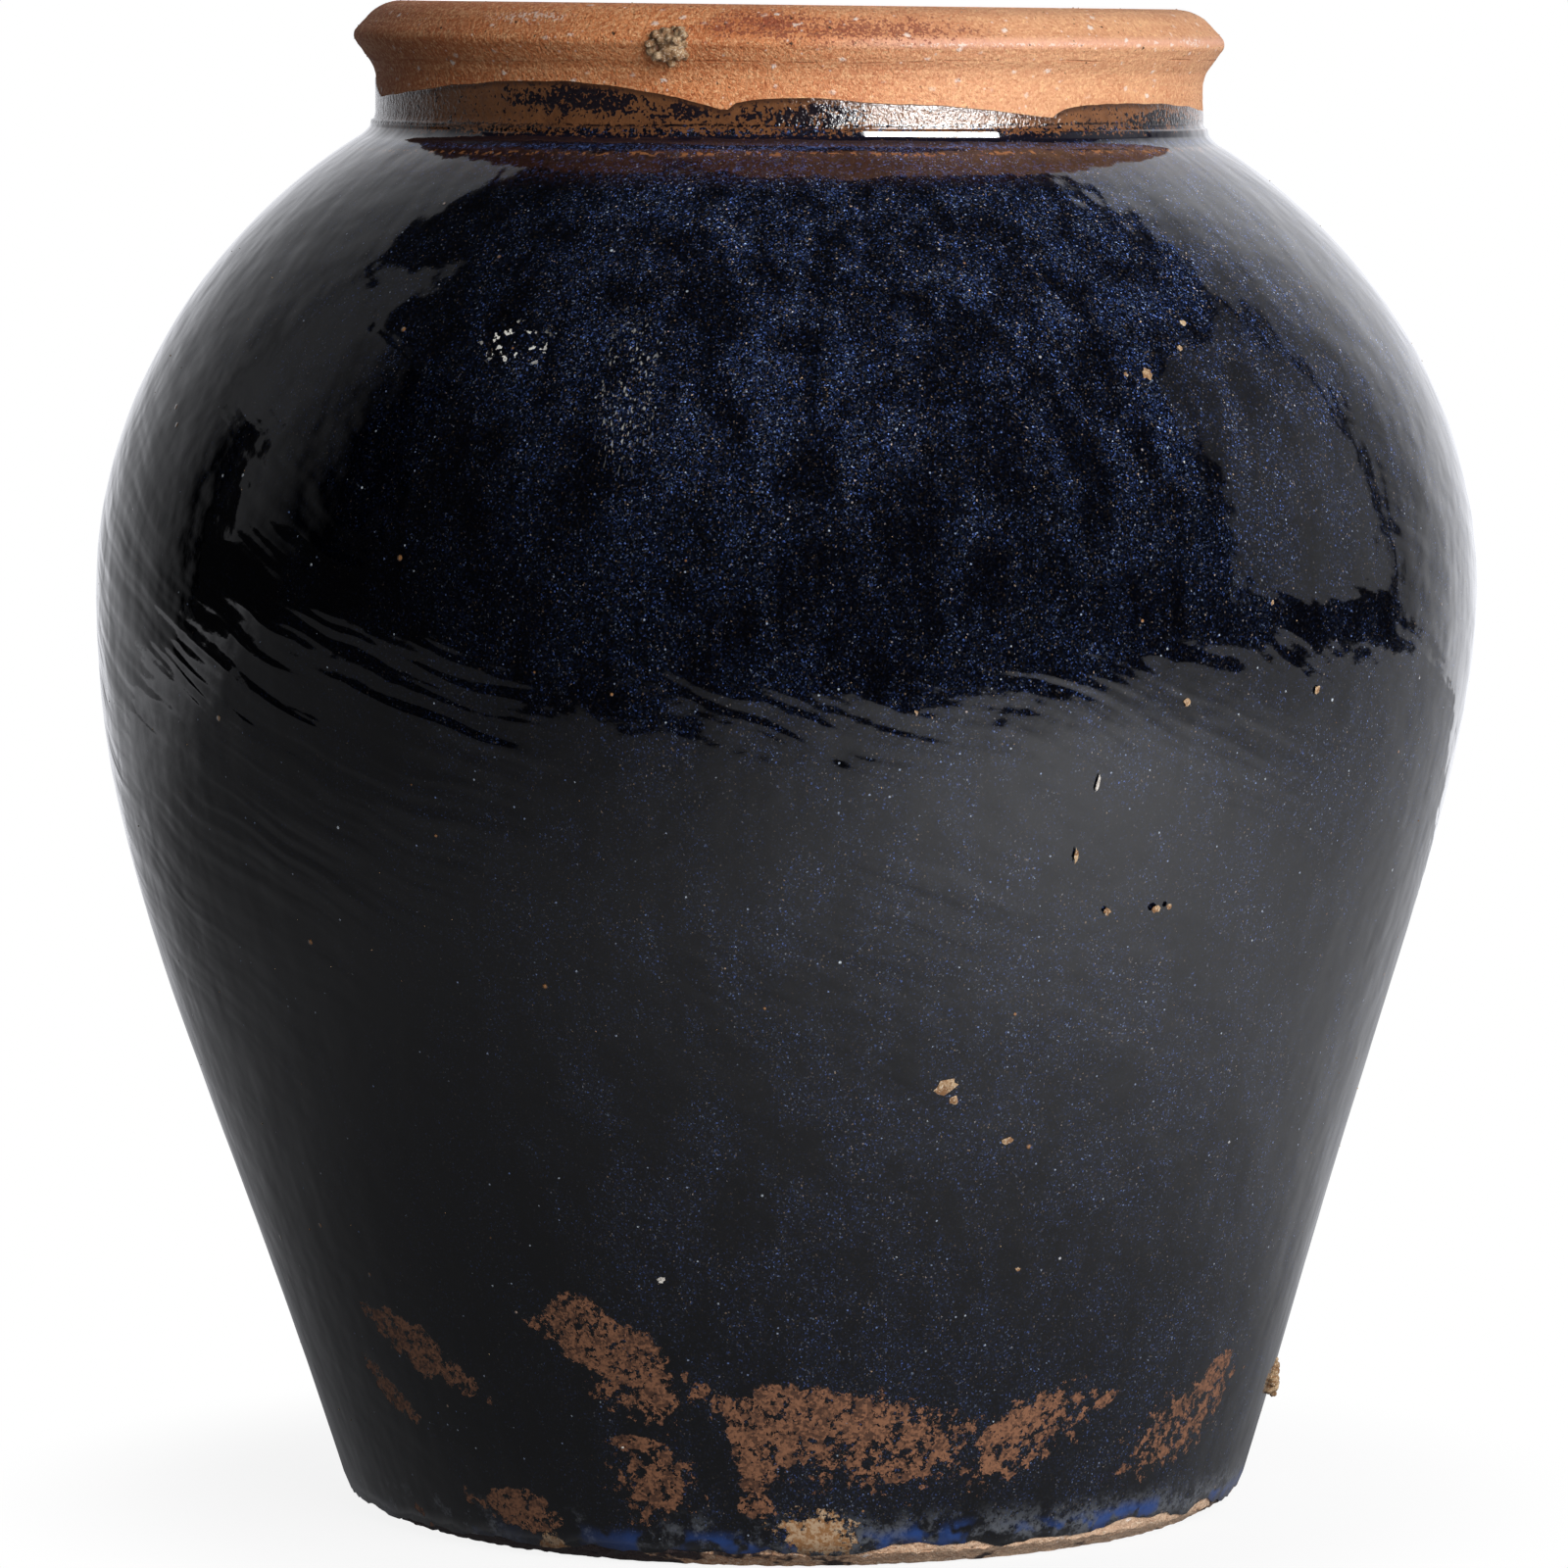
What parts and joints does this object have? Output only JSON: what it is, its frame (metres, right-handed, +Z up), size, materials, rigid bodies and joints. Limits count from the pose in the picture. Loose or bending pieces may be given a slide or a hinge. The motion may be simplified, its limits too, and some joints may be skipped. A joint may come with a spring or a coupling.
{
  "type": "martaban jar",
  "caption": "Wide-bellied stoneware storage jar: short neck with a rolled bare rim, dark blue-black glaze ending in lobes under the rim, flat foot.",
  "frame": {"origin": "centre of the foot, on the plane the jar stands on", "axes": "+Z up along the jar's axis of revolution; -Y faces the picture's camera"},
  "size_m": [0.4888, 0.4888, 0.53],
  "materials": {
    "bare_clay": "unglazed, matt",
    "outside_glaze": "glossy blue-black with cobalt and brown specks",
    "inside_glaze": "thin brown glaze, satin",
    "kiln_grit": "rough, matt"
  },
  "bodies": {
    "root": {"base_slab": "bare_clay", "corner_coil": "bare_clay", "lower_wall": "bare_clay", "belly_wall": "bare_clay", "shoulder_wall": "bare_clay", "neck_ring": "bare_clay", "rim_roll": "bare_clay", "outside_glaze": "outside_glaze", "inside_glaze": "inside_glaze", "rim_kiln_grit": "kiln_grit", "wall_kiln_grit": "kiln_grit"}
  },
  "joints": []
}
